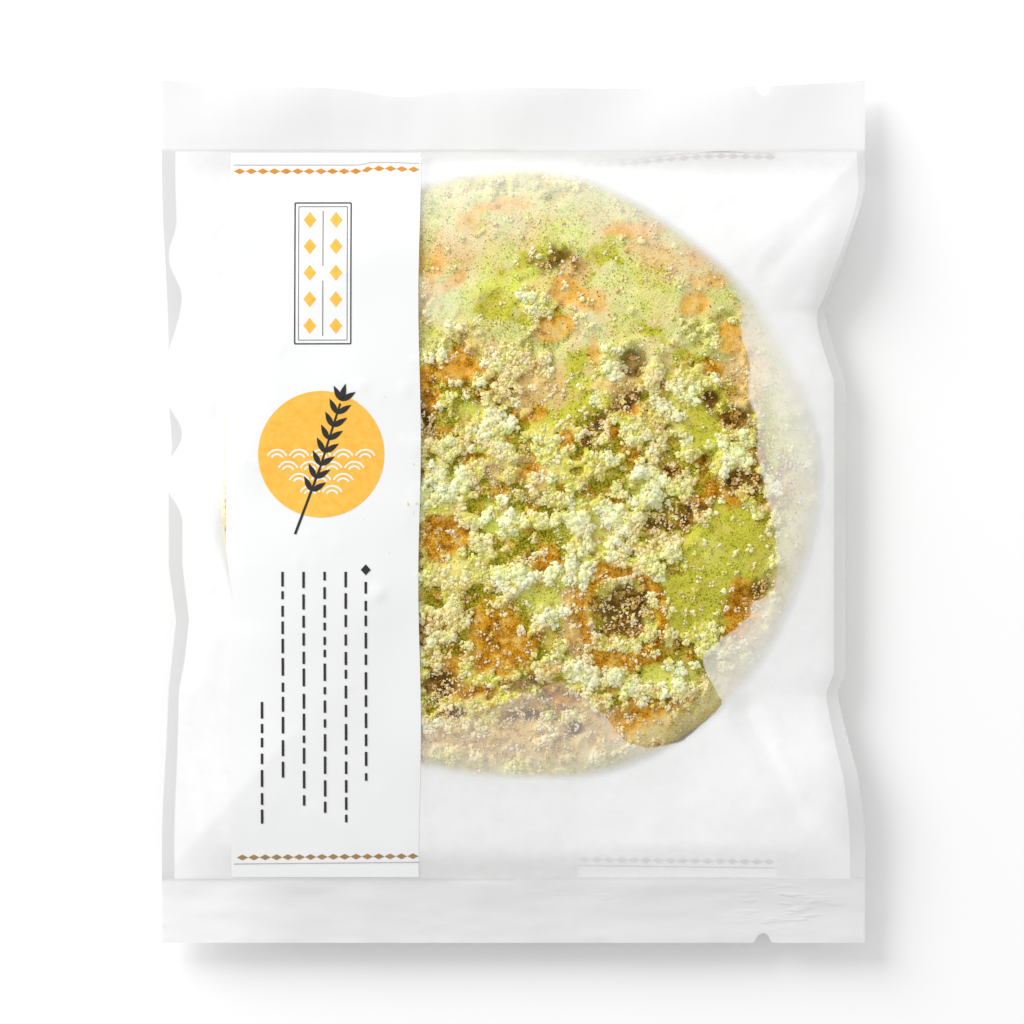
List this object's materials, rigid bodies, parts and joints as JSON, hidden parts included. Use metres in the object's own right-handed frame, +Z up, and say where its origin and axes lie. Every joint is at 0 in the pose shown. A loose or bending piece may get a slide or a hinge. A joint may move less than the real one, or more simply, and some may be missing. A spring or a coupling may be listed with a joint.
{
  "type": "individually wrapped japanese rice cracker",
  "caption": "Large round grilled rice cracker with a pale green granular coating, shut in a clear frosted pillow bag that lies on its back seam.",
  "frame": {"origin": "centre of the bag's plan, on the surface that it lies on", "axes": "+X across the bag, +Y along the bag towards its top seal, +Z up through the printed front"},
  "size_m": [0.1406, 0.1726, 0.0126],
  "materials": {
    "film": "frosted translucent packing film with a soft sheen, clear where it lies on the cracker and at its margins",
    "label_white": "opaque white ink field on the film",
    "print_ink": "orange, brown, grey and black printing ink, matte",
    "baked_cracker": "dry grilled rice dough, glazed orange brown in places, dusted pale yellow green, scorched in spots",
    "seasoning": "matte crumbly granules and small crystals, cream to pale green"
  },
  "bodies": {
    "root": {"sealed_bag": "film"}
  },
  "joints": []
}
